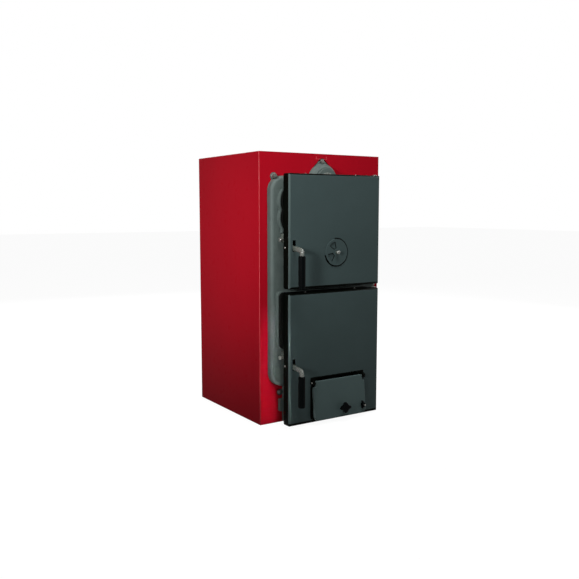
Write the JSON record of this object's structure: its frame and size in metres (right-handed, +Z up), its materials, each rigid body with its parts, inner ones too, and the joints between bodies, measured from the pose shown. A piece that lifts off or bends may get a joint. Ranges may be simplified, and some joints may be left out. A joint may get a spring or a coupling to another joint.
{
  "type": "solid fuel boiler",
  "caption": "Cast-iron sectional solid fuel boiler in a red sheet jacket with hinged loading and firing doors, air flap, air rosette and flue collar.",
  "frame": {"origin": "on the floor, under the middle of the jacket", "axes": "+X to the right seen from the front, +Y towards the back, +Z up"},
  "size_m": [0.515, 0.7263, 0.938],
  "materials": {
    "red_enamel": "gloss",
    "grey_casting": "satin paint",
    "dark_casting": "matt",
    "slate_paint": "satin",
    "zinc": "bright zinc",
    "black_plastic": "fine grain",
    "steel_sheet": "raw",
    "mineral_wool": "soft board",
    "rope": "braided"
  },
  "bodies": {
    "boiler": {"floor_tray": "steel_sheet", "front_section": "grey_casting", "middle_section_1": "grey_casting", "middle_section_2": "grey_casting", "middle_section_3": "grey_casting", "rear_section": "grey_casting", "upper_nipples": "dark_casting", "lower_nipples": "dark_casting", "tie_rods": "zinc", "tie_rod_nuts": "zinc", "hub_cap": "grey_casting", "fire_grate": "dark_casting", "ash_pan": "steel_sheet", "insulation_wrap": "mineral_wool", "left_side_panel": "red_enamel", "right_side_panel": "red_enamel", "front_panel": "red_enamel", "rear_panel": "red_enamel", "top_panel": "red_enamel", "panel_screws": "zinc", "flue_hood": "grey_casting", "flow_flange": "grey_casting", "return_flange": "grey_casting", "flange_bolts": "zinc", "upper_catch_bracket": "grey_casting", "upper_catch_pin": "zinc", "lower_catch_bracket": "grey_casting", "lower_catch_pin": "zinc"},
    "upper_door": {"upper_door_cover": "slate_paint", "upper_door_casting": "dark_casting", "upper_door_insulation": "mineral_wool", "upper_door_shield": "dark_casting", "upper_door_rope": "rope", "upper_cover_screws": "zinc", "upper_hinge_rod": "zinc", "upper_lever_pin": "zinc"},
    "rosette": {"rosette_disc": "slate_paint", "rosette_knob": "zinc"},
    "upper_handle": {"upper_handle_lever": "zinc", "upper_handle_grip": "black_plastic"},
    "lower_door": {"lower_door_cover": "slate_paint", "lower_door_casting": "dark_casting", "lower_door_insulation": "mineral_wool", "lower_door_shield": "dark_casting", "lower_door_rope": "rope", "lower_cover_screws": "zinc", "lower_hinge_rod": "zinc", "lower_lever_pin": "zinc", "flap_pins": "zinc"},
    "lower_handle": {"lower_handle_lever": "zinc", "lower_handle_grip": "black_plastic"},
    "flap": {"air_flap": "slate_paint", "flap_knob": "black_plastic", "flap_set_screw": "zinc", "flap_wing_nut": "black_plastic"},
    "damper": {"damper_disc": "dark_casting", "damper_shaft": "zinc", "damper_lever": "dark_casting"}
  },
  "joints": [
    {"name": "upper_door_hinge", "type": "hinge", "parent": "boiler", "child": "upper_door", "pos_m": [0.188, -0.2895, 0.67], "axis": [0, 0, 1], "range_deg": [0, 125]},
    {"name": "lower_door_hinge", "type": "hinge", "parent": "boiler", "child": "lower_door", "pos_m": [0.188, -0.2895, 0.23], "axis": [0, 0, 1], "range_deg": [0, 125]},
    {"name": "upper_handle_lift", "type": "hinge", "parent": "upper_door", "child": "upper_handle", "pos_m": [-0.1735, -0.2882, 0.617], "axis": [-1, 0, 0], "range_deg": [0, 26]},
    {"name": "lower_handle_lift", "type": "hinge", "parent": "lower_door", "child": "lower_handle", "pos_m": [-0.1735, -0.2882, 0.213], "axis": [-1, 0, 0], "range_deg": [0, 26]},
    {"name": "rosette_turn", "type": "hinge", "parent": "upper_door", "child": "rosette", "pos_m": [0, -0.3135, 0.597], "axis": [0, -1, 0], "range_deg": [0, 50]},
    {"name": "flap_swing", "type": "hinge", "parent": "lower_door", "child": "flap", "pos_m": [0.01, -0.3205, 0.149], "axis": [-1, 0, 0], "range_deg": [0, 65]},
    {"name": "damper_turn", "type": "hinge", "parent": "boiler", "child": "damper", "pos_m": [0, 0.2598, 0.7], "axis": [0, 0, 1], "range_deg": [0, 80]}
  ]
}
